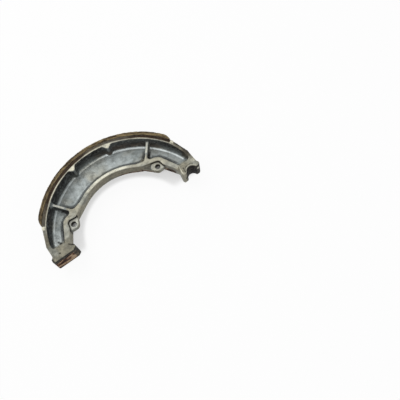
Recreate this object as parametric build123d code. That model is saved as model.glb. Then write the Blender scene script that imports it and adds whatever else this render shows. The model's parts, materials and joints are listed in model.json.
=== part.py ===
import os
from math import asin, cos, degrees, radians, sin, sqrt

from build123d import *

# Brake shoe for a drum of 160 mm bore, lying on one of its side faces.
# The drum axis is Z through the origin, +X points to the pivot, +Y to the middle of the lining.
# All sizes are in millimetres and degrees. Angles are counted from +Y.

# Friction lining
drum_radius = 80.0
shoe_width = 28.0
lining_thickness = 3.6
lining_half_angle = 59.0
lining_bevel_angle = 4.5
lining_end_wall = 0.9

# Rim and machined lining seat
rim_thickness = 4.2
seat_half_angle = 61.5
seat_shoulder = 0.4
end_flat_height = 22.0

# Web, inner flange and cross ribs
web_thickness = 4.0
web_depth = 22.1
flange_thickness = 3.4
flange_width = 10.5
flange_turn_lead = 19.0
flange_turn_radius = 6.0
straight_lead = 21.9
cam_shoulder_lead = 5.3
pivot_shoulder_lead = 13.5
rib_lead = 10.9
rib_thickness = 2.2
rib_rise = 6.0
rib_ramp = 13.0
pocket_corner_radius = 2.4
pocket_floor_radius = 1.5
cast_edge_break = 0.4

# Ejector pads on the upper face
pad_angle = 14.6
pad_length = 9.6
pad_height = 3.6
pad_tip_radius = 0.9

# Spring ears
spring_hole_inset = 27.0
spring_hole_angle = 56.0
spring_hole_diameter = 4.5
ear_radius = 4.5
ear_thickness = 4.4
ear_recess_radius = 4.2
ear_hub_root = 2.0
ear_leg_root = 6.5
flange_bow_radius = 6.7

# Narrowed ends, cam foot and pivot fork
end_inset = 7.3
end_width = 17.0
taper_start = 36.0
taper_end = 20.0
block_top = 18.5
leg_inset = 15.3
leg_swell = 2.2
cam_face_height = 6.8
foot_length = 20.5
foot_lip = 1.9
foot_corner = 3.0
fork_tip_height = 5.6
fork_length = 17.4
fork_lip = 1.0
pivot_radius = 4.5
pivot_inset = 8.4
pivot_height = 4.9
pivot_chamfer = 1.1

# Radii and levels that follow from the sizes
seat_radius = drum_radius - lining_thickness
rim_inner_radius = seat_radius - rim_thickness
flange_radius = rim_inner_radius - web_depth
hub_radius = flange_radius - flange_thickness / 2
flange_turn_angle = spring_hole_angle - degrees(flange_turn_lead / flange_radius)
straight_angle = spring_hole_angle - degrees(straight_lead / flange_radius)
rib_angle = spring_hole_angle - degrees(rib_lead / flange_radius)
end_face = drum_radius - end_inset
mid_level = shoe_width / 2
floor_level = mid_level + web_thickness / 2
flange_level = mid_level + flange_width / 2
block_level = mid_level + end_width / 2
root_height = (block_top + cam_face_height) / 2
far = 3 * drum_radius


def polar(radius, angle):
    return Vector(radius * sin(radians(angle)), radius * cos(radians(angle)))


def sector(half_angle):
    return make_face(Polyline((0, 0), polar(far, -half_angle), polar(far, half_angle), close=True))


def sharp_corners(face):
    corners = []
    for vertex in face.vertices():
        spot = vertex.center()
        ends = [(edge, end) for edge in face.edges() for end in (0, 1) if (edge @ end - spot).length < 1e-5]
        first, second = [edge % end for edge, end in ends]
        if first.cross(second).length > 0.1:
            corners.append(vertex)
    return corners


def tangent_point(start, centre, radius, side):
    reach = centre - start
    swing = side * degrees(asin(radius / reach.length))
    return start + reach.rotate(Axis.Z, swing).normalized() * sqrt(reach.length**2 - radius**2)


# Friction lining: a curved block bonded to the seat, both ends bevelled
lining_plan = (Circle(drum_radius) - Circle(seat_radius)) & sector(lining_half_angle)
for side in (-1, 1):
    bevel_outline = Polyline(
        polar(drum_radius, side * (lining_half_angle - lining_bevel_angle)),
        polar(drum_radius + 4, side * (lining_half_angle - lining_bevel_angle)),
        polar(drum_radius + 4, side * (lining_half_angle + 3)),
        polar(seat_radius + lining_end_wall, side * lining_half_angle),
        close=True,
    )
    lining_plan -= make_face(bevel_outline)
friction_lining = extrude(lining_plan, shoe_width)

# Centre line of the inner flange: it follows the rim, then bows outward round each spring ear
spring_hole = polar(drum_radius - spring_hole_inset, spring_hole_angle)
turn_point = polar(flange_radius, flange_turn_angle)
leg_foot = Vector(end_face - leg_inset, block_top - 1.5)
bow_start = tangent_point(turn_point, spring_hole, flange_bow_radius, 1)
bow_end = tangent_point(leg_foot, spring_hole, flange_bow_radius, -1)
bow_middle = spring_hole + ((bow_start + bow_end) / 2 - spring_hole).normalized() * flange_bow_radius
leg_low = leg_foot + (leg_foot - bow_end).normalized() * drum_radius / 2
half_flange = Curve() + [
    ThreePointArc(polar(flange_radius, 0), polar(flange_radius, flange_turn_angle / 2), turn_point),
    Line(turn_point, bow_start),
    ThreePointArc(bow_start, bow_middle, bow_end),
    Line(bow_end, leg_low),
]
whole_flange = half_flange + mirror(half_flange, Plane.YZ)
closing_line = Line(leg_low, (-leg_low.X, leg_low.Y))
hub_face = make_face(whole_flange.edges() + closing_line.edges())
turn_corners = [corner for corner in sharp_corners(hub_face) if corner.Y > 0]
hub_face = fillet(turn_corners, flange_turn_radius)
flange_reach = offset(hub_face, flange_thickness / 2)

# Hub side: round the axis, straight on to a shoulder, round the recess of the ear, then down the swollen leg
straight_start = polar(hub_radius, straight_angle)
straight_run = polar(1, straight_angle + 90)
recess = []
for bow_spot in (bow_start, bow_middle, bow_end):
    recess.append(spring_hole + (bow_spot - spring_hole).normalized() * ear_recess_radius)
leg_run = (leg_foot - bow_end).normalized()
leg_side = leg_run.rotate(Axis.Z, -90)
leg_outline = Polyline(
    recess[2],
    bow_end + leg_run * 2 * leg_swell + leg_side * (flange_thickness / 2 + leg_swell),
    leg_foot + leg_side * (flange_thickness / 2 + leg_swell / 2),
    leg_low,
)


def shoulder_tip(lead):
    return straight_start + straight_run * (straight_lead - lead)


def half_hub(lead):
    return Curve() + [
        ThreePointArc(polar(hub_radius, 0), polar(hub_radius, straight_angle / 2), straight_start),
        Polyline(straight_start, shoulder_tip(lead), recess[0]),
        ThreePointArc(*recess),
        leg_outline,
    ]


whole_hub = half_hub(pivot_shoulder_lead) + mirror(half_hub(cam_shoulder_lead), Plane.YZ)
hub_space = make_face(whole_hub.edges() + closing_line.edges())
hub_corners = [corner for corner in sharp_corners(hub_space) if corner.Y > root_height]
hub_space = fillet(hub_corners, pocket_corner_radius)

# Cam foot with its outer lip, and pivot fork, both seen along the drum axis
foot_inner = end_face - foot_length
foot_outline = Polyline(
    (-end_face, block_top),
    (-end_face, cam_face_height + 5.6),
    (-end_face - foot_lip, cam_face_height + 3.8),
    (-end_face - foot_lip, cam_face_height + 1),
    (-end_face - foot_lip + 1, cam_face_height),
    (-foot_inner - foot_corner, cam_face_height),
    (-foot_inner, cam_face_height + 0.7 * foot_corner),
    (-foot_inner - 0.2, cam_face_height + 4.6),
    (-foot_inner - 6.8, block_top - 1.2),
    close=True,
)
foot_plan = make_face(foot_outline)
fork_inner = end_face - fork_length
pivot_centre = Vector(end_face - pivot_inset, pivot_height)
fork_outline = Polyline(
    (end_face, block_top),
    (end_face, fork_tip_height + 4.6),
    (end_face + fork_lip, fork_tip_height + 3),
    (end_face + fork_lip, fork_tip_height + 1.4),
    (end_face + fork_lip - 1.6, fork_tip_height),
    (fork_inner + 0.7, fork_tip_height),
    (fork_inner - 0.2, fork_tip_height + 2),
    (fork_inner + 1.6, block_top - 3),
    (end_face - 6, block_top - 3.2),
    close=True,
)
fork_plan = make_face(fork_outline) - Pos(pivot_centre) * Circle(pivot_radius)

# Whole plan of the casting without the ears
rim_plan = Circle(seat_radius) & Pos(0, far / 2 + root_height) * Rectangle(2 * end_face, far)
for side in (-1, 1):
    end_flat_outline = Polyline(
        polar(seat_radius - seat_shoulder, side * seat_half_angle),
        (side * end_face, end_flat_height),
        (side * far, end_flat_height),
        polar(far, side * seat_half_angle),
        close=True,
    )
    rim_plan -= make_face(end_flat_outline)
plan = rim_plan - hub_space + foot_plan + fork_plan
casting = extrude(plan, shoe_width)

# Both ends narrow from the rim width to the width of the foot and fork
side_outline = Polyline(
    (far, 0),
    (far, shoe_width),
    (taper_start, shoe_width),
    (taper_end, block_level),
    (-far, block_level),
    (-far, shoe_width - block_level),
    (taper_end, shoe_width - block_level),
    (taper_start, 0),
    close=True,
)
casting &= extrude(Plane.YZ * make_face(side_outline), far, both=True)

# Chamfer round the mouth of the pivot seat on both faces
mouth_place = (Align.CENTER, Align.CENTER, Align.MAX)
mouth = Cone(pivot_radius, pivot_radius + pivot_chamfer, pivot_chamfer, align=mouth_place)
mouth = Pos(pivot_centre.X, pivot_centre.Y, block_level) * mouth
casting -= mouth
casting -= mirror(mouth, Plane.XY.offset(mid_level))

# Space inside the rim above the flange, on the upper face broken by the two ejector pads
inside = Circle(rim_inner_radius) & Pos(0, far / 2 + root_height) * Rectangle(far, far)
inside = (inside - foot_plan - fork_plan).face()
block_corners = [corner for corner in sharp_corners(inside) if abs(corner.X) > pivot_centre.X]
inside = inside.fillet_2d(pocket_corner_radius, block_corners)
pads = Sketch()
for side in (-1, 1):
    pad_half_angle = degrees(pad_length / 2 / rim_inner_radius)
    pad_outline = Polyline(
        polar(rim_inner_radius + 1, side * (pad_angle - pad_half_angle)),
        polar(rim_inner_radius - pad_height, side * (pad_angle - 0.6)),
        polar(rim_inner_radius - pad_height, side * (pad_angle + 0.8)),
        polar(rim_inner_radius + 1, side * (pad_angle + pad_half_angle)),
        close=True,
    )
    pads += make_face(pad_outline)
inside_upper = Sketch() + inside - pads
pad_corners = inside_upper.vertices().filter_by(lambda v: v.Y > drum_radius / 2).sort_by(SortBy.DISTANCE)
inside_upper = inside_upper.face().fillet_2d(pad_tip_radius, pad_corners[:4])
pad_roots = [corner for corner in sharp_corners(inside_upper) if corner.Y > drum_radius / 2]
inside_upper = inside_upper.fillet_2d(pocket_corner_radius, pad_roots)

# Three pockets in each face, between rim, flange, ribs and end blocks
ribs = Sketch()
for side in (-1, 1):
    rib_bar = Pos(0, drum_radius / 2) * Rectangle(rib_thickness, drum_radius)
    ribs += Rot(0, 0, side * rib_angle) * rib_bar
walls = flange_reach + ribs


def pockets(space):
    tools = Part()
    for area in (Sketch() + space - walls).faces():
        rounded = area.fillet_2d(pocket_corner_radius, sharp_corners(area))
        tool = Pos(0, 0, floor_level) * extrude(rounded, shoe_width)
        floor_edges = tool.edges().group_by(Axis.Z)[0]
        tools += fillet(floor_edges, pocket_floor_radius)
    return tools


# The ribs ramp up from the flange to the rim on both faces
ramp_outline = Polyline(
    (rim_inner_radius - rib_ramp, mid_level),
    (rim_inner_radius - rib_ramp, flange_level),
    (rim_inner_radius + 1, flange_level + rib_rise),
    (rim_inner_radius + 1, mid_level),
    close=True,
)
ramp_width = rib_thickness / 2 + 2 * pocket_corner_radius
ramp = extrude(Plane.YZ * make_face(ramp_outline), ramp_width, both=True)


def top_cut(space):
    tool = Pos(0, 0, flange_level) * extrude(space, shoe_width)
    for side in (-1, 1):
        tool -= Rot(0, 0, side * rib_angle) * ramp
    return tool + pockets(space)


flip = Plane.XY.offset(mid_level)
casting -= top_cut(inside_upper)
casting -= mirror(top_cut(inside), flip)

# Broken cast edges: both sides of the flange along its long arc, and the outer edges of foot and fork
def edges_at(level, kind):
    return casting.edges().filter_by_position(Axis.Z, level, level).filter_by(kind).sort_by(SortBy.LENGTH)


for level in (flange_level, shoe_width - flange_level):
    casting = chamfer(edges_at(level, GeomType.CIRCLE)[-2:], cast_edge_break)
for level in (block_level, shoe_width - block_level):
    block_edges = edges_at(level, GeomType.LINE)
    middles = [(edge, edge @ 0.5) for edge in block_edges]
    outer_edges = [edge for edge, spot in middles if spot.Y < root_height or abs(spot.X) >= end_face]
    casting = chamfer(outer_edges, cast_edge_break)

# Spring ears: thin lugs at mid width, each with a hole for the spring hook
root_radius = flange_thickness / 4
leg_root = bow_end + leg_run * ear_leg_root
for side, lead in ((-1, cam_shoulder_lead), (1, pivot_shoulder_lead)):
    hole_centre = Vector(side * spring_hole.X, spring_hole.Y)
    hub_root = shoulder_tip(lead + ear_hub_root) + straight_run.rotate(Axis.Z, 90) * root_radius
    lug = make_hull(
        (Pos(hole_centre) * Circle(ear_radius)).edges()
        + (Pos(side * hub_root.X, hub_root.Y) * Circle(root_radius)).edges()
        + (Pos(side * leg_root.X, leg_root.Y) * Circle(root_radius)).edges()
    )
    casting += Pos(0, 0, mid_level - ear_thickness / 2) * extrude(lug, ear_thickness)
    casting -= Pos(hole_centre.X, hole_centre.Y, mid_level) * Cylinder(spring_hole_diameter / 2, shoe_width)

os.makedirs("parts", exist_ok=True)
export_step(casting, "parts/shoe_casting.step")
export_step(friction_lining, "parts/friction_lining.step")
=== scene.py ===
import json
import bpy
import bmesh
import numpy as np
from mathutils import Matrix, Vector, noise

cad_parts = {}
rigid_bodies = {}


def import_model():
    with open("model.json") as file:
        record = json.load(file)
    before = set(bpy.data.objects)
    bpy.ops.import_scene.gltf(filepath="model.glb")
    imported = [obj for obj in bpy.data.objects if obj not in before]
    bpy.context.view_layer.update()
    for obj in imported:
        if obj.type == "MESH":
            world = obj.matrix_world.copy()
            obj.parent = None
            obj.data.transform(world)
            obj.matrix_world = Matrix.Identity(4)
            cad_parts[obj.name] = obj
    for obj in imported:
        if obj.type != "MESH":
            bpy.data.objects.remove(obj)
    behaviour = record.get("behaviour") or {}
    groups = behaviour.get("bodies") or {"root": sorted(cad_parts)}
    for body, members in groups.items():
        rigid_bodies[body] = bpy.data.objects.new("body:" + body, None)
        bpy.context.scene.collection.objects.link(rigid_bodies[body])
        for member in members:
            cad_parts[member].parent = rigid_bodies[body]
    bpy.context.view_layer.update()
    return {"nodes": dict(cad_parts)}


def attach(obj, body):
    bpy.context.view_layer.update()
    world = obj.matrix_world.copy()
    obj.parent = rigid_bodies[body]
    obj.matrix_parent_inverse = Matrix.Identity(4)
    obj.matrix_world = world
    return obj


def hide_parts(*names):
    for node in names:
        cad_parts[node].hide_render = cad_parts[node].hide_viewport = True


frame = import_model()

scene = bpy.context.scene
mm = 0.001
white = (1, 1, 1, 1)
mathNode, rangeNode, mixNode = "ShaderNodeMath", "ShaderNodeMapRange", "ShaderNodeMix"  # kinds used most
noiseNode, layerNode, placeNode = "ShaderNodeTexNoise", "ShaderNodeAttribute", "ShaderNodeTexCoord"
print("frame loaded:", sorted(frame["nodes"]))


def hexColour(code):  # sRGB hex to linear
    parts = [int(code[i:i + 2], 16) / 255 for i in (1, 3, 5)]
    linear = [c / 12.92 if c <= 0.04045 else ((c + 0.055) / 1.055) ** 2.4 for c in parts]
    return (*linear, 1.0)


def addNode(tree, kind, inputs=None, **settings):  # one node with its settings, values and links
    node = tree.nodes.new(kind)
    for key, value in settings.items():
        setattr(node, key, value)
    for key, value in (inputs or {}).items():
        if isinstance(value, bpy.types.Node):  # a node stands for its first output in use
            value = next(socket for socket in value.outputs if socket.enabled)
        if isinstance(value, bpy.types.NodeSocket):
            tree.links.new(value, node.inputs[key])
        else:
            node.inputs[key].default_value = value
    return node


def emptyTree(owner):  # cleared node tree of a material or the world
    owner.use_nodes = True
    owner.node_tree.nodes.clear()
    return owner.node_tree


def perMm(size):  # texture scale that gives a pattern of this size in mm
    return 1000 / size


def plainMesh(source, name):  # what the modifiers make, as a mesh of its own
    graph = bpy.context.evaluated_depsgraph_get()
    mesh = bpy.data.meshes.new_from_object(source.evaluated_get(graph))
    bpy.data.objects.remove(source)
    mesh.name = name
    return mesh


def addPiece(name, mesh):  # smooth-shaded, its place in its mesh
    mesh.polygons.foreach_set("use_smooth", np.ones(len(mesh.polygons), dtype=bool))
    piece = bpy.data.objects.new(name, mesh)
    scene.collection.objects.link(piece)
    return piece


cameraSet = {
    "place": (-26.48, -165.86, 390.50),  # mm, worked out from the shoe's circles in the photograph
    "right": (0.79689, -0.60083, -0.06347),
    "up": (0.57149, 0.71550, 0.40172),
    "lens": 43.10, "sensor": 36.0, "nearest": 10.0,  # mm
}


def makeCamera(s):
    data = bpy.data.cameras.new("photoCamera")
    data.sensor_width = s["sensor"]
    data.lens = s["lens"]
    data.clip_start = s["nearest"] * mm
    right, up = Vector(s["right"]).normalized(), Vector(s["up"]).normalized()
    back = right.cross(up).normalized()
    turn = Matrix((right, back.cross(right), back)).transposed().to_4x4()
    camera = bpy.data.objects.new("photoCamera", data)
    camera.matrix_world = Matrix.Translation(Vector(s["place"]) * mm) @ turn
    scene.collection.objects.link(camera)
    scene.camera = camera


def seenDirectly(tree):  # 1 for camera, glossy and transmission rays
    path = addNode(tree, "ShaderNodeLightPath").outputs
    direct = addNode(tree, mathNode, {0: path["Is Camera Ray"], 1: path["Is Glossy Ray"]}, operation="MAXIMUM")
    return addNode(tree, mathNode, {0: direct, 1: path["Is Transmission Ray"]}, operation="MAXIMUM")


lightSet = {
    "worldLevel": 0.60, "aim": (0, 0.04, 0),
    "keyPlace": (-0.20, 0.50, 0.70), "keySize": 0.70, "keyPower": 3.0,
    "fillPlace": (0.25, -0.45, 0.60), "fillSize": 0.6, "fillPower": 0.5,
}


def makeLight(s):
    world = bpy.data.worlds.new("whiteRoom")
    scene.world = world
    tree = emptyTree(world)
    level = addNode(tree, rangeNode, {"Value": seenDirectly(tree), "To Min": s["worldLevel"], "To Max": 1.0})
    back = addNode(tree, "ShaderNodeBackground", {"Color": white, "Strength": level})
    addNode(tree, "ShaderNodeOutputWorld", {"Surface": back})
    for name in ("key", "fill"):
        data = bpy.data.lights.new(name + "Light", "AREA")
        data.size = s[name + "Size"]
        data.energy = s[name + "Power"]
        lamp = bpy.data.objects.new(name + "Light", data)
        lamp.location = s[name + "Place"]
        lamp.rotation_euler = (Vector(s["aim"]) - lamp.location).to_track_quat("-Z", "Y").to_euler()
        scene.collection.objects.link(lamp)


tableSet = {
    "side": 3.0, "drop": 0.02 * mm,
    "paper": "#f2f2f2", "openWhite": 0.93, "shadeWhite": 0.55,  # share of plain white, open and beside the shoe
    "fades": {  # mm from the drum axis, or ahead of it, over which each zone of the floor begins
        "inside": ("radius", 54, 58), "outside": ("radius", 80, 74), "front": ("ahead", 29, 36),
        "beside": ("radius", 46, 51), "apart": ("ahead", 8, 16),
    },
    "zones": {"under": ("inside", "outside", "front"), "near": ("beside", "outside", "apart")},
}


def makeTable(s):
    mesh = bpy.data.meshes.new("tableTop")
    side = s["side"]
    mesh.from_pydata([(-side, -side, 0), (side, -side, 0), (side, side, 0), (-side, side, 0)], [], [(0, 1, 2, 3)])
    table = bpy.data.objects.new("tableTop", mesh)
    table.location.z = -s["drop"]
    scene.collection.objects.link(table)
    paper = bpy.data.materials.new("whitePaper")  # matt white sheet, keeps a faint soft shadow
    tree = emptyTree(paper)
    spot = addNode(tree, "ShaderNodeSeparateXYZ", {0: addNode(tree, placeNode).outputs["Object"]}).outputs
    flat = addNode(tree, "ShaderNodeCombineXYZ", {0: spot[0], 1: spot[1]})
    reach = {"radius": addNode(tree, "ShaderNodeVectorMath", {0: flat}, operation="LENGTH"), "ahead": spot[1]}
    fade, zone = {}, {}
    for name, (along, low, high) in s["fades"].items():
        limits = {"Value": reach[along], "From Min": low * mm, "From Max": high * mm}
        fade[name] = addNode(tree, rangeNode, limits, interpolation_type="SMOOTHSTEP")
    for name, (first, second, third) in s["zones"].items():
        both = addNode(tree, mathNode, {0: fade[first], 1: fade[second]}, operation="MULTIPLY")
        zone[name] = addNode(tree, mathNode, {0: both, 1: fade[third]}, operation="MULTIPLY")
    pale = addNode(tree, rangeNode, {"Value": zone["near"], "To Min": s["openWhite"], "To Max": s["shadeWhite"]})
    # the shade under the shoe stays whole
    plain = addNode(tree, mixNode, {"Factor": zone["under"], "A": pale, "B": 0.0}, data_type="FLOAT")
    share = addNode(tree, mathNode, {0: seenDirectly(tree), 1: plain}, operation="MULTIPLY")
    sheet = addNode(tree, "ShaderNodeBsdfDiffuse", {"Color": hexColour(s["paper"])})
    glow = addNode(tree, "ShaderNodeEmission", {"Color": white, "Strength": 1.0})
    mix = addNode(tree, "ShaderNodeMixShader", {0: share, 1: sheet, 2: glow})
    addNode(tree, "ShaderNodeOutputMaterial", {"Surface": mix})
    mesh.materials.append(paper)


makeCamera(cameraSet)
makeLight(lightSet)
makeTable(tableSet)
scene.view_settings.view_transform = "Standard"
print("camera, light and table ready")


# helpers for work on the points of a dense mesh, all in mm
def smoothStep(low, high, value):
    t = np.clip((value - low) / (high - low), 0, 1)
    return t * t * (3 - 2 * t)


def fadeOut(low, high, value):  # 1 before low, 0 past high
    return 1 - smoothStep(low, high, value)


def nearBand(value, low, high, soft):  # 1 between low and high, fading over soft outside
    return smoothStep(low - soft, low, value) * fadeOut(high, high + soft, value)


def strongest(*marks):  # the highest share of cover among marks of (share, zone)
    return np.maximum.reduce([share * zone for share, zone in marks])


def pointArrays(mesh):
    spots = np.empty(len(mesh.vertices) * 3)
    mesh.vertices.foreach_get("co", spots)
    pairs = np.empty(len(mesh.edges) * 2, dtype=np.int32)
    mesh.edges.foreach_get("vertices", pairs)
    return spots.reshape(-1, 3) / mm, pairs.reshape(-1, 2)


def setPoints(mesh, spots):
    mesh.vertices.foreach_set("co", (spots * mm).ravel())
    mesh.update()


def pointNormals(mesh):
    normals = np.empty(len(mesh.vertices) * 3)
    mesh.vertex_normals.foreach_get("vector", normals)
    return normals.reshape(-1, 3)


def neighbourMean(values, pairs):
    ends = np.concatenate((pairs[:, 0], pairs[:, 1]))
    others = np.concatenate((pairs[:, 1], pairs[:, 0]))
    count = np.maximum(np.bincount(ends, minlength=len(values)), 1)
    if values.ndim == 1:
        return np.bincount(ends, values[others], minlength=len(values)) / count
    columns = [np.bincount(ends, column[others], minlength=len(values)) / count for column in values.T]
    return np.stack(columns, axis=1)


def spread(values, pairs, rounds):
    for _ in range(rounds):
        values = 0.5 * values + 0.5 * neighbourMean(values, pairs)
    return values


def skinNoise(spots, size, seed):  # noise from -1 to 1 with this grain in mm
    shift = Vector((seed * 17.3, seed * 5.1, seed * 9.7))
    return np.array([noise.noise(Vector(p) + shift) for p in spots / size])


def distance(spots, place):
    return np.linalg.norm(spots - np.array(place), axis=1)


castingSet = {  # mm
    "middle": 14.0, "height": 28.0, "webHalf": 2.0, "rimWall": 72.2, "seatRadius": 76.4,
    "ear": (43.94, 29.64), "notch": (64.3, 4.9),  # centres of the spring holes and the pivot seat
    "voxel": 0.54,  # fine enough for the cast edges
    "evenRounds": 5, "pullIn": 0.55, "pushOut": 0.56,  # softens the voxel steps and the cast edges
    "fillRounds": 7, "fillShare": 0.7,  # rounds off inside corners as a mould does
    "sweepRadius": 3.0, "sweepLimit": 72.8, "pocketEnd": 21.0,
    "skinDepth": 0.06, "skinSize": 3.2, "skinLevel": 0.6, "skinSeed": 3, "seatCut": 0.05,
    "holeDraft": 0.45, "camWear": 0.3, "camFlakes": 0.35,
    "flakeRun": (0.22, 0.06), "flakeRise": (-0.08, 0.55), "flakeSlice": 4.0,  # noise steps per mm of x and z
    "wallGrain": 2.6, "wallSeed": 11,
    "tipHighlight": (70.9, 5.7, 17.0), "endHighlight": (70.4, 12.4, 22.4),  # painted highlights on the fork
    "grimeMarks": [  # start, end, width
        ((-61.9, 21.6, 16), (-61.4, 21.0, 16), 1.6), ((-62.8, 23.5, 16), (-62.6, 23.3, 16), 1.3),
        ((-55.7, 13.9, 22.4), (-53.2, 11.2, 22.4), 1.6), ((-74.0, 11.8, 22.2), (-73.6, 6.6, 22.2), 1.3),
        ((59.2, 10.8, 22.5), (59.1, 10.0, 22.5), 0.8), ((58.9, 8.0, 22.5), (58.8, 7.0, 22.5), 1.0),
        ((58.4, 5.6, 13.6), (57.9, 5.6, 12.4), 1.1),
    ],
    "pits": [  # place, width, depth
        ((-66.0, 11.4, 22.5), 0.9, 0.5), ((59.0, 7.5, 22.5), 0.8, 0.45), ((57.6, 8.9, 22.5), 0.6, 0.3),
    ],
}


def denseCopy(nodeName, name, voxel):
    mesh = frame["nodes"][nodeName].data.copy()
    shell = bmesh.new()
    shell.from_mesh(mesh)
    bmesh.ops.remove_doubles(shell, verts=shell.verts, dist=1e-6)
    shell.to_mesh(mesh)
    shell.free()
    rough = bpy.data.objects.new(name + "Rough", mesh)
    scene.collection.objects.link(rough)
    remesh = rough.modifiers.new("evenGrid", "REMESH")
    remesh.mode = "VOXEL"
    remesh.voxel_size = voxel * mm
    dense = plainMesh(rough, name)
    dense.materials.clear()
    return dense


def shapeCasting(mesh, s):
    spots, pairs = pointArrays(mesh)
    for _ in range(s["evenRounds"]):  # smooth, then push back out so that walls keep their thickness
        spots = spots + s["pullIn"] * (neighbourMean(spots, pairs) - spots)
        spots = spots - s["pushOut"] * (neighbourMean(spots, pairs) - spots)
    for _ in range(s["fillRounds"]):
        setPoints(mesh, spots)
        normals = pointNormals(mesh)
        rise = ((neighbourMean(spots, pairs) - spots) * normals).sum(axis=1)
        spots = spots + normals * np.maximum(rise, 0)[:, None] * s["fillShare"]
    # the pocket floors sweep up into the rim wall
    sweepRadius = s["sweepRadius"]
    centreOut, centreUp = s["rimWall"] - sweepRadius, s["webHalf"] + sweepRadius
    radius = np.hypot(spots[:, 0], spots[:, 1])
    side = np.sign(spots[:, 2] - s["middle"])
    sweepOut = radius - centreOut
    sweepUp = np.abs(spots[:, 2] - s["middle"]) - centreUp
    gap = np.hypot(sweepOut, sweepUp)
    corner = (sweepOut > 0) & (sweepUp < 0) & (gap > sweepRadius)
    corner = corner & (radius < s["sweepLimit"]) & (spots[:, 1] > s["pocketEnd"])
    pull = np.where(corner, sweepRadius / np.maximum(gap, 1e-6), 1.0)
    spots[:, :2] *= ((centreOut + sweepOut * pull) / radius)[:, None]
    spots[:, 2] = s["middle"] + side * (centreUp + sweepUp * pull)
    setPoints(mesh, spots)
    # cast skin, pits, hole draft and wear, each as a push along the normal
    normals = pointNormals(mesh)
    x, y, z = spots.T
    half = np.abs(z - s["middle"])
    seat = smoothStep(75.2, 76.0, np.hypot(x, y))
    skin = skinNoise(spots, s["skinSize"], s["skinSeed"]) - s["skinLevel"]
    push = s["skinDepth"] * skin * (1 - seat) - s["seatCut"] * seat
    for place, wide, deep in s["pits"]:
        push = push - deep * fadeOut(0.2 * wide, wide, distance(spots, place))
    earGap = np.hypot(np.abs(x) - s["ear"][0], y - s["ear"][1])
    push = push + s["holeDraft"] * fadeOut(2.4, 2.9, earGap) * fadeOut(0.0, 2.2, half)
    camFace = (x < -50) * nearBand(y, 0, 7.6, 0.4) * smoothStep(0.5, 0.9, -normals[:, 1])
    # hollow that the cam wore, flaked along the face, a lip left above
    run, rise = [x * perX + z * perZ for perX, perZ in (s["flakeRun"], s["flakeRise"])]
    streak = np.array([noise.noise(Vector((a, s["flakeSlice"], b))) for a, b in zip(run, rise)])
    worn = s["camWear"] + s["camFlakes"] * smoothStep(0.05, 0.32, streak)
    push = push - camFace * worn * fadeOut(18.4, 19.6, z)
    spots = spots + normals * push[:, None]
    spots[:, 2] = np.clip(spots[:, 2], 0.0, s["height"])
    setPoints(mesh, spots)


def grimeCover(spots, marks):  # short smears, each from start to end
    grime = np.zeros(len(spots))
    for start, end, wide in marks:
        run = np.array(end) - np.array(start)
        share = np.clip((spots - np.array(start)) @ run / (run @ run), 0, 1)
        away = np.linalg.norm(spots - np.array(start) - share[:, None] * run, axis=1)
        grime = np.maximum(grime, fadeOut(0.3 * wide, wide, away))
    return grime


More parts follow.
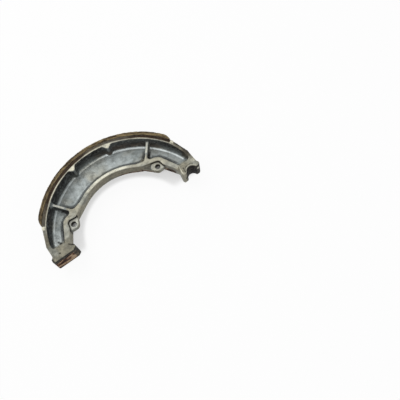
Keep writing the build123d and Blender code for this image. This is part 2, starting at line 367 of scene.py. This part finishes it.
def paintCasting(mesh, s):  # zone limits are mm, degrees from the middle of the lining, or parts of a normal
    spots, pairs = pointArrays(mesh)
    normals = pointNormals(mesh)
    x, y, z = spots.T
    radius = np.hypot(x, y)
    angle = np.degrees(np.arctan2(x, y))  # below 0 towards the cam
    turn = np.abs(angle)
    out = (normals[:, 0] * x + normals[:, 1] * y) / radius
    up = normals[:, 2] * np.sign(z - s["middle"])  # both faces are treated alike
    level = np.abs(normals[:, 2])
    half = np.abs(z - s["middle"])
    bend = ((neighbourMean(spots, pairs) - spots) * normals).sum(axis=1)
    dip, bulge = np.maximum(bend, 0), np.maximum(-bend, 0)
    hollow = smoothStep(0.012, 0.075, spread(dip, pairs, 2))
    hollowWide = smoothStep(0.003, 0.03, spread(dip, pairs, 9))
    hollowFar = smoothStep(0.0037, 0.0072, spread(dip, pairs, 30))
    ridge = smoothStep(0.015, 0.10, spread(bulge, pairs, 2))
    clearOfEnds = smoothStep(15.0, 18.0, y)
    pocketSpan = smoothStep(20.0, 23.0, y)
    pocket = pocketSpan * (radius < 73.5)

    # rim: pale top with a wavering dust line beside the lining, seat steps, and the two ends
    rimTop = smoothStep(11.5, 13.0, half) * smoothStep(67.6, 68.2, radius) * smoothStep(0.5, 0.8, up)
    rimEnd = smoothStep(60.5, 62.0, turn) * smoothStep(19.0, 22.0, y) * smoothStep(72.0, 72.6, radius)
    rimEnd = rimEnd * smoothStep(0.2, 0.6, np.maximum(up, out))
    crown = nearBand(angle, 0.0, 18.0, 7.0)
    dustLine = 73.15 + 0.42 * nearBand(angle, -40.0, -28.0, 8.0) + 0.6 * crown
    dustLine = dustLine + 0.24 * nearBand(angle, 37.0, 43.0, 5.0)
    dustSoft = 0.35 + 0.55 * crown
    rimBare = rimTop * fadeOut(-dustSoft, 0.25, radius - dustLine)
    rimDust = rimTop * smoothStep(-dustSoft, dustSoft, radius - dustLine) * fadeOut(59.5, 61.0, turn)
    rimDust = rimDust * (0.75 + 0.25 * smoothStep(-52.0, -42.0, angle))
    rimDust = rimDust * (1 - 0.22 * nearBand(angle, 2.0, 28.0, 7.0))
    seatStep = nearBand(turn, 60.4, 62.2, 0.4) * smoothStep(73.2, 74.0, radius)
    seatStep = seatStep * smoothStep(-0.2, 0.3, np.maximum(up, out)) * (0.12 + 0.88 * smoothStep(10.0, 12.8, half))
    seatGlue = nearBand(turn, 58.0, 60.2, 0.4) * smoothStep(75.0, 75.8, radius)
    endEdge = (x > 0) * nearBand(angle, 63.5, 73.5, 1.5) * smoothStep(74.0, 74.9, radius)
    endEdge = endEdge * (0.4 + 0.6 * smoothStep(3.0, 8.0, half))  # dark line along the outside of the pivot end
    endBrown = (x > 0) * nearBand(angle, 70.5, 75.0, 2.2) * smoothStep(70.6, 72.6, radius)

    # pockets: rim wall with soot and painted shade, a painted highlight line where the floor sweeps up, floor with a
    # painted sheen, and cross ribs
    rimWall = smoothStep(66.0, 67.0, radius) * smoothStep(0.3, 0.7, -out) * nearBand(half, 2.9, 14.0, 0.5) * pocket
    boss = fadeOut(70.2, 71.0, radius) * smoothStep(4.5, 6.0, half) * smoothStep(0.75, 0.9, -out)
    wallLow = 0.8 - 0.34 * smoothStep(-24.0, -4.0, angle)  # the wall is blacker towards the cam
    # soot on the rim wall, with painted shade: darker higher up the wall
    wallSootAndShade = rimWall * (wallLow + (0.96 - wallLow) * smoothStep(3.0, 9.5, half)) * (1 - 0.6 * boss)
    wallSootAndShade = wallSootAndShade * (1 - 0.3 * smoothStep(0.1, 0.6, skinNoise(spots, s["wallGrain"], s["wallSeed"])))
    wallSootAndShade = wallSootAndShade * (1 - 0.16 * nearBand(angle, 14.0, 50.0, 8.0))
    wallFoot = rimWall * nearBand(angle, 10.0, 46.0, 12.0) * fadeOut(5.0, 11.0, half)  # reddish dust low on the wall
    # painted highlight where the floor sweeps up into the rim wall
    filletHighlight = nearBand(radius, 69.3, 70.1, 0.45) * nearBand(half, 1.7, 2.8, 0.4)
    filletHighlight = filletHighlight * smoothStep(0.5, 0.8, up) * pocket
    glint = 0.35 + 0.65 * smoothStep(-25.0, 20.0, angle)  # the painted highlight along the floor line is brightest round the pivot-side rib
    glint = glint * (1 - 0.5 * smoothStep(50.0, 62.0, angle))
    floor = (half < 2.8) * smoothStep(0.8, 0.95, up)
    # painted sheen on the pocket floors
    floorSheen = 0.05 + 0.14 * nearBand(angle, -30.0, 24.0, 10.0) + 0.22 * smoothStep(-57.0, -64.0, angle)
    floorSheen = floorSheen + 0.08 * smoothStep(40.0, 47.0, angle)
    floorSheen = floorSheen * floor * nearBand(radius, 50.0, 69.0, 1.0) * pocket
    floorDull = floor * nearBand(radius, 58.0, 68.5, 1.5) * nearBand(angle, -36.0, -29.0, 4.0)
    floorWarm = pocket * (half < 2.8) * (up > 0.8) * nearBand(angle, -8.0, 4.0, 7.0)
    ribZone = nearBand(turn, 41.4, 47.4, 0.8)
    ribTop = nearBand(half, 3.6, 13.2, 0.5) * smoothStep(0.55, 0.85, up) * nearBand(radius, 63.0, 70.5, 1.0) * pocket
    # soot and painted shade on the sides of the cross ribs
    ribSideSootAndShade = ribZone * nearBand(half, 2.2, 11.0, 0.6) * nearBand(radius, 59.0, 72.0, 1.0)
    ribSideSootAndShade = ribSideSootAndShade * fadeOut(0.3, 0.6, level) * fadeOut(0.4, 0.7, np.abs(out)) * (0.8 - 0.3 * (x > 0))
    ribCap = (x < 0) * nearBand(angle, -45.6, -42.6, 0.9) * smoothStep(6.0, 11.5, half)  # pale where it meets the rim
    # soot and painted shade on the floor along the flange and ribs
    floorEdgeSootAndShade = np.maximum(smoothStep(0.08, 0.55, hollowWide), 0.68 * hollowFar * (1 - ribZone))
    floorEdgeSootAndShade = floorEdgeSootAndShade * (half < 3.4) * fadeOut(64, 68, radius) * pocketSpan

    # inner flange, the wall towards the hub and the spring ears
    flangeTop = nearBand(half, 4.7, 5.6, 0.3) * smoothStep(0.6, 0.85, up) * fadeOut(61.5, 63.5, radius) * clearOfEnds
    # painted highlight on the flange top, brightest round the middle
    flangeHighlight = flangeTop * (0.12 + 0.2 * (angle > 18) + 0.8 * nearBand(angle, -14.0, 18.0, 16.0))
    hubSide = fadeOut(58.5, 60.5, radius) * clearOfEnds
    hubFace = smoothStep(0.4, 0.8, -out) * hubSide
    # darker and red-brown along the bottom of the hub face
    hubFoot = smoothStep(0.0, 0.35, -out) * hubSide * nearBand(angle, 18.0, 70.0, 9.0) * fadeOut(10.0, 12.6, z)
    earGap = np.hypot(np.abs(x) - s["ear"][0], y - s["ear"][1])
    ear = fadeOut(5.6, 6.4, earGap)
    earTop = ear * smoothStep(0.6, 0.9, up) * nearBand(half, 1.5, 2.6, 0.3)
    # soot and painted shade inside the spring holes
    earHoleSootAndShade = fadeOut(2.5, 3.0, earGap) * fadeOut(0.3, 0.8, level)
    # painted shade in the recess round the root of each ear
    earRootShade = nearBand(earGap, 3.0, 7.5, 0.5) * fadeOut(0.45, 0.8, level) * nearBand(half, 2.2, 4.7, 0.3)
    earRootShade = earRootShade * smoothStep(0.0, 0.4, -out)
    besideEar = (x > 0) * fadeOut(15.0, 18.0, earGap) * clearOfEnds
    recessFar = besideEar * smoothStep(5.8, 7.5, earGap) * nearBand(half, 1.7, 4.8, 0.3) * fadeOut(57.5, 59.0, radius)
    plate = besideEar * smoothStep(5.4, 6.8, earGap) * fadeOut(57.0, 58.5, radius)
    # painted shade: the plate top darkened like a wall in shade, with brown dust
    plateTopShade = plate * nearBand(half, 1.6, 2.8, 0.3) * smoothStep(0.7, 0.9, up)
    plateSide = plate * smoothStep(0.2, 0.5, -out) * fadeOut(13.6, 15.2, z)

    # cam foot
    foot = fadeOut(19.5, 22.0, y) * (x < 0)
    footTop = foot * smoothStep(0.6, 0.9, up) * (x < -50)
    camFace = (x < -48) * fadeOut(7.4, 8.2, y) * smoothStep(0.3, 0.75, -normals[:, 1])
    camCorner = fadeOut(9.6, 10.6, y) * nearBand(x, -56.6, -50.0, 1.0) * fadeOut(0.6, 0.9, level)
    camLip = (x < -48) * fadeOut(7.6, 9.0, y) * smoothStep(18.0, 19.4, z) * fadeOut(0.75, 0.95, normals[:, 2])
    camEnds = (x < -48) * fadeOut(11.0, 15.0, y) * smoothStep(0.5, 0.85, np.abs(normals[:, 0]))
    camInner, camOuter = camEnds * (normals[:, 0] > 0), camEnds * (normals[:, 0] < 0)

    # pivot fork
    fork = fadeOut(18.0, 20.5, y) * (x > 0)
    notchGap = np.hypot(x - s["notch"][0], y - s["notch"][1])
    notchWall = fadeOut(5.4, 6.0, notchGap) * fadeOut(0.4, 0.8, level)
    notchRing = fadeOut(6.2, 7.4, notchGap) * nearBand(up, 0.3, 0.85, 0.2)
    forkLine = nearBand(notchGap, 5.9, 6.4, 0.3) * smoothStep(0.7, 0.9, up) * (x > 50) * fadeOut(68.0, 69.0, x)
    # painted shade round the end of the outer prong
    forkTipShade = smoothStep(67.0, 69.0, x) * fadeOut(8.0, 11.5, y) * fadeOut(0.5, 0.9, level)
    prongTop = (x > 50) * (y < 15) * smoothStep(0.6, 0.9, up)
    prongRidgeHighlight = prongTop * nearBand(x, 55.9, 56.6, 0.5) * nearBand(y, 5.4, 14.0, 1.2)  # painted highlight line
    # painted shade on the prong top beside the highlight line
    prongSideShade = prongTop * np.maximum(fadeOut(55.0, 55.8, x), fadeOut(3.6, 5.0, y)) * (x < 62)
    # painted highlights on the fork tip and end
    tipHighlight = fadeOut(0.9, 2.1, distance(spots, s["tipHighlight"]))
    endHighlight = fadeOut(0.9, 2.6, distance(spots, s["endHighlight"]))

    # what lies on each zone, with painted shade and painted highlights, as a share of full cover
    # soot and painted shade in the corners
    cornerSootAndShade = np.maximum(hollow, 0.35 * hollowWide) * (1 - 0.75 * earTop) * (1 - 0.9 * recessFar)
    cornerSootAndShade = cornerSootAndShade * (1 - smoothStep(68.0, 69.0, radius) * pocket * (half < 6))
    openRecess = 1 - 0.95 * recessFar
    sootAndShade = strongest(
        (1.0, wallSootAndShade), (1.0, cornerSootAndShade), (0.55, hubFoot), (0.5, plateSide), (0.35, plateTopShade), (0.6, forkLine),
        (1.0, ribSideSootAndShade), (0.3, prongSideShade), (0.15, floorDull), (0.95, floorEdgeSootAndShade * openRecess * (1 - ear)),
        (0.95, earRootShade * openRecess), (0.95, earHoleSootAndShade), (1.0, notchWall), (0.95, camLip), (0.9, camInner),
        (0.92, camCorner), (0.95, forkTipShade * (1 - tipHighlight)), (0.85, endEdge), (0.3, endBrown), (0.5, camEnds),
        (0.22, footTop), (0.9, grimeCover(spots, s["grimeMarks"])))
    sootAndShade = sootAndShade * (1 - filletHighlight) * (1 - 0.8 * seatStep) * (1 - 0.6 * ribCap * rimWall)
    bareAndHighlight = strongest(
        (0.85, rimBare), (1.6, filletHighlight * glint), (1.0, floorSheen), (1.0, flangeHighlight), (0.75, ribTop), (0.5, ridge),
        (0.45, earTop), (0.7, notchRing), (0.7, tipHighlight), (0.5, endHighlight), (0.6, prongRidgeHighlight), (1.0, seatStep))
    stain = strongest(
        (1.0, rimDust), (0.3, rimEnd), (0.9, hubFoot), (0.1 + 0.22 * smoothStep(-25.0, 8.0, angle), hubFace),
        (0.8, camOuter), (0.6, seatGlue), (0.25, recessFar), (0.9, plateSide), (0.5, plateTopShade), (0.65, wallFoot),
        (0.6, endBrown)) * (1 - seatStep)
    warm = strongest(
        (0.9, flangeTop), (1.0, hubFace), (1.0, foot), (0.9, fork), (0.7, ribTop), (1.0, rimTop), (1.0, rimEnd),
        (1.0, endBrown), (0.7, ear), (1.0, recessFar), (0.5, floorWarm))
    rust = strongest(
        (1.0, camFace * (1 - camLip) * (1 - 0.8 * camCorner)), (0.45, hubFoot), (0.45, plateSide), (0.12, wallFoot))
    for name, values in {"sootAndShade": sootAndShade, "bareAndHighlight": bareAndHighlight, "stain": stain, "rust": rust, "warm": warm}.items():
        layer = mesh.attributes.new(name, "FLOAT", "POINT")
        layer.data.foreach_set("value", np.clip(values, 0, 1.6).astype(np.float32))
    sweep = np.stack((np.radians(angle) * s["seatRadius"], radius, z), axis=1) * mm  # round the rim, out, up
    layer = mesh.attributes.new("sweep", "FLOAT_VECTOR", "POINT")
    layer.data.foreach_set("vector", sweep.astype(np.float32).ravel())


castFinish = {
    "colours": {
        # the bare colours also paint highlights and sheen, and the soot colour also paints shade
        "cool": "#8b9291", "warm": "#918d7c", "dull": "#565854", "coolBareAndHighlight": "#e9f0f0", "warmBareAndHighlight": "#cfccb9",
        "stain": "#3d2b1d", "stainDark": "#1f140d", "sootAndShade": "#171516",
        "rustDark": "#1d0f0b", "rust": "#583420", "rustPale": "#a8937a",
    },
    "noises": {  # size in mm, detail, roughness, distortion
        "blotch": (12.0, 2.0, 0.5, 0.0), "cloud": (4.6, 4.0, 0.6, 0.4), "mottle": (1.7, 4.0, 0.6, 0.0),
        "grain": (0.7, 2.0, 0.5, 0.0),  # real cast grain is finer, drawn as coarse as it needs to show
    },
    "streakSize": 1.2, "streakPull": 0.14, "flakeSize": 2.6, "flakePull": (0.28, 1.0, 0.75), "flakeLean": 0.12,
    "rustSteps": {"rustDark": 0.44, "rust": 0.50, "rustPale": 0.575},
    "skinMetal": 0.45, "grimeRough": 0.66, "skinRelief": 0.10 * mm,
}


def castAluminium(s):  # die-cast and grimy: dull grey skin, soot and painted shade in the corners, bright where handled, with painted highlights and sheen
    finish = bpy.data.materials.new("dieCastAluminium")
    tree = emptyTree(finish)
    colour = {name: hexColour(code) for name, code in s["colours"].items()}
    place = addNode(tree, placeNode).outputs["Object"]
    sweep = addNode(tree, layerNode, attribute_name="sweep").outputs["Vector"]
    layer, pattern = {}, {}
    for name in ("sootAndShade", "bareAndHighlight", "stain", "rust", "warm"):
        layer[name] = addNode(tree, layerNode, attribute_name=name).outputs["Fac"]
    for name, (size, detail, roughness, distortion) in s["noises"].items():
        pattern[name] = addNode(tree, noiseNode, {
            "Vector": place, "Scale": perMm(size),
            "Detail": detail, "Roughness": roughness, "Distortion": distortion})
    blotch, cloud, mottle = pattern["blotch"], pattern["cloud"], pattern["mottle"]
    # bare skin: cool grey on the sheltered faces, warmer where it was handled, with dull patches
    lean = addNode(tree, rangeNode, {
        "Value": blotch, "From Min": 0.35, "From Max": 0.65, "To Min": -0.4, "To Max": 0.4})
    warmth = addNode(tree, mathNode, {0: layer["warm"], 1: lean}, operation="ADD", use_clamp=True)
    skin = addNode(tree, mixNode, {"Factor": warmth, "A": colour["cool"], "B": colour["warm"]}, data_type="RGBA")
    patch = addNode(tree, rangeNode, {"Value": cloud, "From Min": 0.56, "From Max": 0.36, "To Max": 0.42})
    dull = addNode(tree, mixNode, {"Factor": patch, "A": skin, "B": colour["dull"]}, data_type="RGBA")
    speck = addNode(tree, rangeNode, {
        "Value": mottle, "From Min": 0.3, "From Max": 0.7, "To Min": 0.82, "To Max": 1.18})
    flecked = addNode(tree, mixNode, {
        "Factor": 1.0, "A": dull, "B": speck}, data_type="RGBA", blend_type="MULTIPLY")
    # bright bare metal where rubbed, and painted highlights and sheen
    rub = addNode(tree, rangeNode, {"Value": cloud, "From Min": 0.30, "From Max": 0.50, "To Min": 0.45})
    rubbedAndHighlit = addNode(tree, mathNode, {0: layer["bareAndHighlight"], 1: rub}, operation="MULTIPLY", use_clamp=True)
    shine = addNode(tree, mixNode, {
        "Factor": layer["warm"], "A": colour["coolBareAndHighlight"], "B": colour["warmBareAndHighlight"]}, data_type="RGBA")
    bright = addNode(tree, mixNode, {"Factor": rubbedAndHighlit, "A": flecked, "B": shine}, data_type="RGBA")
    # brown brake dust soaked into the rim, drawn out along the rub
    drawn = addNode(tree, "ShaderNodeMapping", {"Vector": sweep, "Scale": (s["streakPull"], 1.0, 1.0)})
    streak = addNode(tree, noiseNode, {
        "Vector": drawn, "Scale": perMm(s["streakSize"]), "Detail": 4.0, "Roughness": 0.65})
    dust = addNode(tree, rangeNode, {"Value": streak, "From Min": 0.40, "From Max": 0.62})
    dustTone = addNode(tree, mixNode, {
        "Factor": dust, "A": colour["stainDark"], "B": colour["stain"]}, data_type="RGBA")
    soak = addNode(tree, rangeNode, {"Value": mottle, "From Min": 0.70, "From Max": 0.45, "To Min": 0.90})
    soaked = addNode(tree, mathNode, {0: layer["stain"], 1: soak}, operation="MULTIPLY")
    brown = addNode(tree, mixNode, {"Factor": soaked, "A": bright, "B": dustTone}, data_type="RGBA")
    # soot that clings in the corners, and painted shade
    sootAndShadeMottle = addNode(tree, rangeNode, {"Value": mottle, "From Min": 0.72, "From Max": 0.45, "To Min": 0.78})
    clungSootAndShade = addNode(tree, mathNode, {0: layer["sootAndShade"], 1: sootAndShadeMottle}, operation="MULTIPLY")
    sootedAndShaded = addNode(tree, mixNode, {"Factor": clungSootAndShade, "A": brown, "B": colour["sootAndShade"]}, data_type="RGBA")
    # rust left by the cam: pale worn ridges and dark pits lying along the face
    laid = addNode(tree, "ShaderNodeMapping", {
        "Vector": place, "Rotation": (0, s["flakeLean"], 0), "Scale": s["flakePull"]})
    flake = addNode(tree, noiseNode, {
        "Vector": laid, "Scale": perMm(s["flakeSize"]), "Detail": 3.0, "Roughness": 0.55})
    rustTone = addNode(tree, "ShaderNodeValToRGB", {"Fac": flake})
    steps = rustTone.color_ramp.elements
    steps[0].position, steps[0].color = s["rustSteps"]["rustDark"], colour["rustDark"]
    steps[1].position, steps[1].color = s["rustSteps"]["rustPale"], colour["rustPale"]
    steps.new(s["rustSteps"]["rust"]).color = colour["rust"]
    rusty = addNode(tree, mixNode, {"Factor": layer["rust"], "A": sootedAndShaded, "B": rustTone}, data_type="RGBA")
    # what is covered, or painted as shade, is matt and no longer metal
    coatAndShade = addNode(tree, mathNode, {0: clungSootAndShade, 1: layer["rust"]}, operation="MAXIMUM")
    coverAndShade = addNode(tree, mathNode, {0: coatAndShade, 1: soaked}, operation="MAXIMUM")
    metal = addNode(tree, rangeNode, {"Value": coverAndShade, "To Min": s["skinMetal"], "To Max": 0.0})
    mattness = addNode(tree, rangeNode, {
        "Value": cloud, "From Min": 0.35, "From Max": 0.65, "To Min": 0.56, "To Max": 0.40})
    rough = addNode(tree, mixNode, {"Factor": coverAndShade, "A": mattness, "B": s["grimeRough"]}, data_type="FLOAT")
    relief = addNode(tree, mathNode, {0: pattern["grain"], 1: 0.5, 2: mottle}, operation="MULTIPLY_ADD")
    bump = addNode(tree, "ShaderNodeBump", {"Height": relief, "Strength": 0.4, "Distance": s["skinRelief"]})
    shader = addNode(tree, "ShaderNodeBsdfPrincipled", {
        "Base Color": rusty, "Metallic": metal, "Roughness": rough, "Specular IOR Level": 0.1, "Normal": bump})
    addNode(tree, "ShaderNodeOutputMaterial", {"Surface": shader})
    return finish


castMesh = denseCopy("shoe_casting", "shoeBody", castingSet["voxel"])
shapeCasting(castMesh, castingSet)
paintCasting(castMesh, castingSet)
castMesh.materials.append(castAluminium(castFinish))
shoeBody = addPiece("shoeBody", castMesh)
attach(shoeBody, "root")
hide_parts("shoe_casting")
print("shoe body:", len(castMesh.polygons), "faces")


liningSet = {
    "sizes": {
        "Drum Radius": 80.0 * mm, "Worn Thickness": 3.6 * mm, "Width": 28.0 * mm,
        "Half Angle": np.radians(59.0), "Bevel Angle": np.radians(4.5), "End Thickness": 0.9 * mm,
        "Groove Depth": 0.12 * mm, "Chip Depth": 0.5 * mm, "Seed": 4.0,
    },
    "arcSteps": 300, "radialSteps": 9, "widthSteps": 64,
    "scoreSize": 1.3, "chipSize": 3.2, "chipReach": 1.1,  # mm
    "scoreRate": 18.0,  # noise steps per metre of arc, so scores run long
    "edgeCrowd": 0.28, "wearFocus": 6.0,  # how points gather at the edges, how wear keeps to the outside
}


def liningTree(s, material):  # a grid block bent round the drum axis, its ends bevelled, its outside worn
    tree = bpy.data.node_groups.new("bentLining", "GeometryNodeTree")
    for name in s["sizes"]:
        tree.interface.new_socket(name, in_out="INPUT", socket_type="NodeSocketFloat")
    tree.interface.new_socket("Mesh", in_out="OUTPUT", socket_type="NodeSocketGeometry")
    size = addNode(tree, "NodeGroupInput").outputs

    block = addNode(tree, "GeometryNodeMeshCube", {
        "Size": (1, 1, 1),
        "Vertices X": s["arcSteps"], "Vertices Y": s["radialSteps"], "Vertices Z": s["widthSteps"]})
    spot = addNode(tree, "ShaderNodeSeparateXYZ", {0: addNode(tree, "GeometryNodeInputPosition")}).outputs
    # where a point lies: along the arc from -1 to 1, through the thickness and across the width from 0 to 1
    along = addNode(tree, mathNode, {0: spot[0], 1: 2.0}, operation="MULTIPLY")
    depth = addNode(tree, mathNode, {0: spot[1], 1: 0.5}, operation="ADD")
    lean = addNode(tree, mathNode, {0: spot[2], 1: np.pi}, operation="MULTIPLY")
    bow = addNode(tree, mathNode, {0: lean}, operation="SINE")
    even = addNode(tree, mathNode, {0: spot[2], 1: 1 - 2 * s["edgeCrowd"], 2: 0.5}, operation="MULTIPLY_ADD")
    across = addNode(tree, mathNode, {0: bow, 1: s["edgeCrowd"], 2: even}, operation="MULTIPLY_ADD")
    turn = addNode(tree, mathNode, {0: along, 1: size["Half Angle"]}, operation="MULTIPLY")
    arc = addNode(tree, mathNode, {0: turn, 1: size["Drum Radius"]}, operation="MULTIPLY")
    height = addNode(tree, mathNode, {0: across, 1: size["Width"]}, operation="MULTIPLY")
    # thickness: full in the middle, bevelled towards both ends, the bevel worn round
    turned = addNode(tree, mathNode, {0: turn}, operation="ABSOLUTE")
    fromEnd = addNode(tree, mathNode, {0: size["Half Angle"], 1: turned}, operation="SUBTRACT")
    share = addNode(tree, mathNode, {0: fromEnd, 1: size["Bevel Angle"]}, operation="DIVIDE", use_clamp=True)
    swell = addNode(tree, mathNode, {0: share, 1: -0.5, 2: 1.5}, operation="MULTIPLY_ADD")
    slope = addNode(tree, mathNode, {0: share, 1: swell}, operation="MULTIPLY")
    gain = addNode(tree, mathNode, {0: size["Worn Thickness"], 1: size["End Thickness"]}, operation="SUBTRACT")
    thick = addNode(tree, mathNode, {0: gain, 1: slope, 2: size["End Thickness"]}, operation="MULTIPLY_ADD")
    # fine scores along the rub, only on the outside
    outer = addNode(tree, mathNode, {0: depth, 1: s["wearFocus"]}, operation="POWER")
    rolled = addNode(tree, "ShaderNodeCombineXYZ", {0: arc, 2: height})
    scorePlace = addNode(tree, "ShaderNodeVectorMath", {
        0: rolled, 1: (s["scoreRate"], 1.0, perMm(s["scoreSize"]))}, operation="MULTIPLY")
    scores = addNode(tree, noiseNode, {
        "Vector": scorePlace, "W": size["Seed"], "Scale": 1.0, "Detail": 3.0}, noise_dimensions="4D")
    groove = addNode(tree, mathNode, {0: scores, 1: size["Groove Depth"]}, operation="MULTIPLY")
    # crumbled edges
    middle = addNode(tree, mathNode, {0: across, 1: 0.5}, operation="SUBTRACT")
    off = addNode(tree, mathNode, {0: middle}, operation="ABSOLUTE")
    inward = addNode(tree, mathNode, {0: 0.5, 1: off}, operation="SUBTRACT")
    toEdge = addNode(tree, mathNode, {0: inward, 1: size["Width"]}, operation="MULTIPLY")
    nearEdge = addNode(tree, rangeNode, {
        "Value": toEdge, "From Max": s["chipReach"] * mm, "To Min": size["Chip Depth"], "To Max": 0.0},
        interpolation_type="SMOOTHSTEP")
    chips = addNode(tree, noiseNode, {
        "Vector": rolled, "W": size["Seed"], "Scale": perMm(s["chipSize"]), "Detail": 2.0}, noise_dimensions="4D")
    broken = addNode(tree, rangeNode, {
        "Value": chips, "From Min": 0.42, "From Max": 0.72, "To Min": 0.3, "To Max": 1.0})
    lost = addNode(tree, mathNode, {0: nearEdge, 1: broken, 2: groove}, operation="MULTIPLY_ADD")
    worn = addNode(tree, mathNode, {0: lost, 1: outer}, operation="MULTIPLY")
    # bend the block round the drum axis
    inner = addNode(tree, mathNode, {0: size["Drum Radius"], 1: size["Worn Thickness"]}, operation="SUBTRACT")
    full = addNode(tree, mathNode, {0: depth, 1: thick, 2: inner}, operation="MULTIPLY_ADD")
    reach = addNode(tree, mathNode, {0: full, 1: worn}, operation="SUBTRACT")
    sine = addNode(tree, mathNode, {0: turn}, operation="SINE")
    cosine = addNode(tree, mathNode, {0: turn}, operation="COSINE")
    aside = addNode(tree, mathNode, {0: reach, 1: sine}, operation="MULTIPLY")
    ahead = addNode(tree, mathNode, {0: reach, 1: cosine}, operation="MULTIPLY")
    place = addNode(tree, "ShaderNodeCombineXYZ", {0: aside, 1: ahead, 2: height})
    through = addNode(tree, mathNode, {0: depth, 1: size["Worn Thickness"]}, operation="MULTIPLY")
    sweep = addNode(tree, "ShaderNodeCombineXYZ", {0: arc, 1: through, 2: height})
    kept = addNode(tree, "GeometryNodeStoreNamedAttribute", {
        "Geometry": block, "Name": "sweep", "Value": sweep}, data_type="FLOAT_VECTOR", domain="POINT")
    bent = addNode(tree, "GeometryNodeSetPosition", {"Geometry": kept, "Position": place})
    whole = addNode(tree, "GeometryNodeRealizeInstances", {0: bent})
    dressed = addNode(tree, "GeometryNodeSetMaterial", {"Geometry": whole, "Material": material})
    addNode(tree, "NodeGroupOutput", {0: dressed})
    return tree


liningFinish = {
    "colours": {
        "edge": "#6b5d45", "edgeDark": "#20150e", "edgePale": "#8e7d5b",
        "outside": "#5c5548", "outsideDark": "#38322b", "fleck": "#98865f",
    },
    "mottleSize": 1.8, "streakSize": 1.1, "streakPull": 0.12,  # mm, and how far streaks are drawn out
    "fleckSize": 0.9,  # real fibres are finer, drawn as coarse as they need to show
    "edgeSteps": {"edgeDark": 0.38, "edge": 0.49, "edgePale": 0.64},
    "outsideFrom": 3.35, "outsideTo": 3.55,  # mm out from the bond, where the edge turns into the outside
    "relief": 0.15 * mm,
}


def frictionCompound(s):  # moulded resin and fibre: matt olive-brown, streaked along the rub, dusty
    finish = bpy.data.materials.new("mouldedFrictionCompound")
    tree = emptyTree(finish)
    colour = {name: hexColour(code) for name, code in s["colours"].items()}
    sweep = addNode(tree, layerNode, attribute_name="sweep").outputs["Vector"]
    place = addNode(tree, placeNode).outputs["Object"]
    parts = addNode(tree, "ShaderNodeSeparateXYZ", {0: sweep}).outputs
    outside = addNode(tree, rangeNode, {
        "Value": parts[1], "From Min": s["outsideFrom"] * mm, "From Max": s["outsideTo"] * mm})
    mottle = addNode(tree, noiseNode, {
        "Vector": place, "Scale": perMm(s["mottleSize"]), "Detail": 4.0, "Roughness": 0.65})
    stretched = addNode(tree, "ShaderNodeMapping", {"Vector": sweep, "Scale": (s["streakPull"], 1.0, 1.0)})
    streak = addNode(tree, noiseNode, {
        "Vector": stretched, "Scale": perMm(s["streakSize"]), "Detail": 4.0, "Roughness": 0.6})
    edgeTone = addNode(tree, "ShaderNodeValToRGB", {"Fac": streak})
    steps = edgeTone.color_ramp.elements
    steps[0].position, steps[0].color = s["edgeSteps"]["edgeDark"], colour["edgeDark"]
    steps[1].position, steps[1].color = s["edgeSteps"]["edgePale"], colour["edgePale"]
    steps.new(s["edgeSteps"]["edge"]).color = colour["edge"]
    faceTone = addNode(tree, mixNode, {
        "Factor": streak, "A": colour["outsideDark"], "B": colour["outside"]}, data_type="RGBA")
    body = addNode(tree, mixNode, {"Factor": outside, "A": edgeTone, "B": faceTone}, data_type="RGBA")
    fleck = addNode(tree, "ShaderNodeTexVoronoi", {"Vector": place, "Scale": perMm(s["fleckSize"])})
    speck = addNode(tree, rangeNode, {"Value": fleck, "From Min": 0.22, "From Max": 0.12, "To Max": 0.4})
    speckled = addNode(tree, mixNode, {"Factor": speck, "A": body, "B": colour["fleck"]}, data_type="RGBA")
    shade = addNode(tree, rangeNode, {
        "Value": mottle, "From Min": 0.3, "From Max": 0.6, "To Min": 0.55, "To Max": 1.05})
    shaded = addNode(tree, mixNode, {
        "Factor": 1.0, "A": speckled, "B": shade}, data_type="RGBA", blend_type="MULTIPLY")
    relief = addNode(tree, mathNode, {0: streak, 1: mottle}, operation="ADD")
    bump = addNode(tree, "ShaderNodeBump", {"Height": relief, "Strength": 0.6, "Distance": s["relief"]})
    rough = addNode(tree, rangeNode, {"Value": outside, "To Min": 0.86, "To Max": 0.62})
    shader = addNode(tree, "ShaderNodeBsdfPrincipled", {
        "Base Color": shaded, "Roughness": rough, "Specular IOR Level": 0.2, "Normal": bump})
    addNode(tree, "ShaderNodeOutputMaterial", {"Surface": shader})
    return finish


def makeLining(s, finish):
    tree = liningTree(s, frictionCompound(finish))
    rough = bpy.data.objects.new("liningRough", bpy.data.meshes.new("liningRough"))
    scene.collection.objects.link(rough)
    bend = rough.modifiers.new("bentLining", "NODES")
    bend.node_group = tree
    for item in tree.interface.items_tree:
        if item.in_out == "INPUT":
            bend[item.identifier] = float(s["sizes"][item.name])
    return addPiece("liningBlock", plainMesh(rough, "liningBlock"))


liningBlock = makeLining(liningSet, liningFinish)
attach(liningBlock, "root")
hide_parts("friction_lining")
print("lining:", len(liningBlock.data.polygons), "faces")
